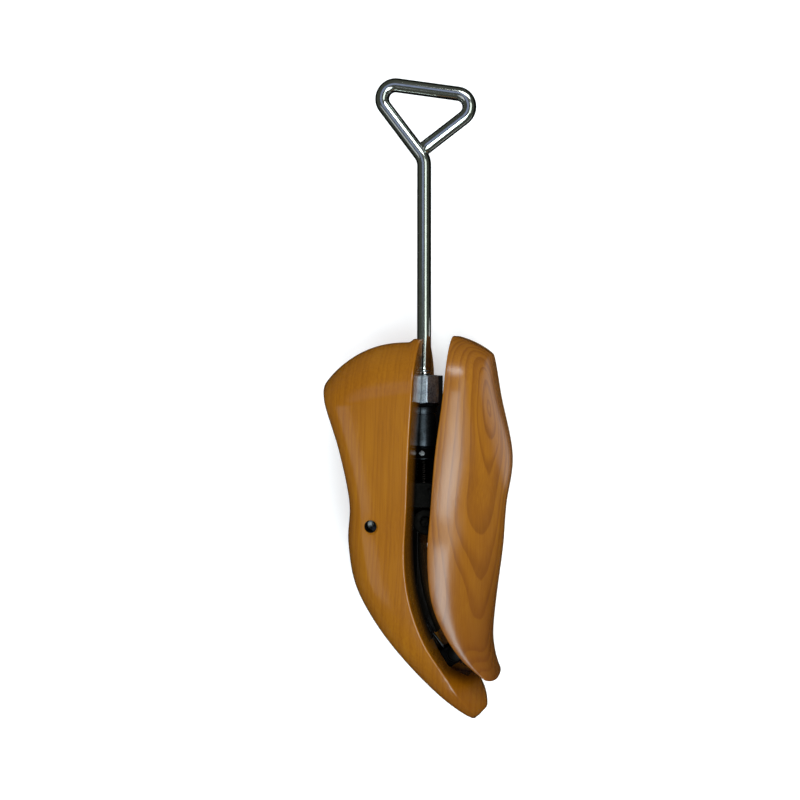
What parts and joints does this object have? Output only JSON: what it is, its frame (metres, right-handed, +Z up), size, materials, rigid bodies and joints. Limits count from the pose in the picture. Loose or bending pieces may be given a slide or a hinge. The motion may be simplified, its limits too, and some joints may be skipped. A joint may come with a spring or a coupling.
{
  "type": "shoe stretcher",
  "caption": "Two-way wooden shoe stretcher for high heels: curved halves hinged at the toe, forced apart by a screw with a bent rod grip.",
  "frame": {"origin": "middle of the base of the bounding box, on the table that the stretcher lies on with one side down", "axes": "+X from the sole side to the instep side, +Y along the drive rod from the toe to the grip, +Z up, across the foot"},
  "size_m": [0.0982, 0.3371, 0.075],
  "materials": {
    "lacquered_wood": "clear gloss lacquer over straight-grained light hardwood",
    "polished_rod": "bright drawn steel",
    "bright_nut": "bright zinc plating, slightly pitted",
    "dark_sleeve": "black oxide, satin",
    "black_frame": "black oxide, satin",
    "carriage_steel": "oiled black oxide on machined steel",
    "ground_steel": "ground steel",
    "greased_steel": "hardened steel darkened by grease",
    "screw_steel": "plated steel",
    "blued_screw": "blued steel",
    "spring_steel": "bright spring steel"
  },
  "bodies": {
    "sole": {"sole_half": "lacquered_wood", "sole_channel": "black_frame", "channel_screws": "blued_screw", "drive_nut": "bright_nut", "nut_sleeve": "dark_sleeve", "lock_collar": "dark_sleeve", "collar_screw": "screw_steel", "sole_hinge_leaf": "black_frame", "sole_leaf_screws": "blued_screw", "hinge_pin": "black_frame", "pin_clip": "spring_steel", "return_spring": "spring_steel"},
    "carriage": {"carriage_block": "carriage_steel", "thrust_ball": "ground_steel", "swivel_pins": "greased_steel", "roller_axle": "greased_steel"},
    "spindle": {"drive_rod": "polished_rod"},
    "roller": {"roller": "greased_steel"},
    "instep": {"instep_half": "lacquered_wood", "ramp_plate": "black_frame", "ramp_screws": "blued_screw", "instep_hinge_leaf": "black_frame", "instep_leaf_screws": "blued_screw"}
  },
  "joints": [
    {"name": "carriage_slide", "type": "slide", "parent": "sole", "child": "carriage", "axis": [0, -1, 0], "range_m": [-0.01101, 0.02201]},
    {"name": "spindle_turn", "type": "hinge", "parent": "carriage", "child": "spindle", "pos_m": [0.0023, 0.0325, 0.0375], "axis": [0, -1, 0], "range_deg": [-1980, 3960]},
    {"name": "roller_spin", "type": "hinge", "parent": "carriage", "child": "roller", "pos_m": [0.0037, -0.065, 0.0375], "axis": [0, 0, 1], "range_deg": [-90.1, 180.2]},
    {"name": "instep_swing", "type": "hinge", "parent": "sole", "child": "instep", "pos_m": [0.0198, -0.1335, 0.0375], "axis": [0, 0, -1], "range_deg": [-2.5, 5]}
  ],
  "couplings": [
    {"joint": "carriage_slide", "follows": "spindle_turn", "m_per_rad": 0.00031831},
    {"joint": "roller_spin", "follows": "spindle_turn", "ratio": 0.045473},
    {"joint": "instep_swing", "follows": "spindle_turn", "ratio": 0.0012625}
  ]
}
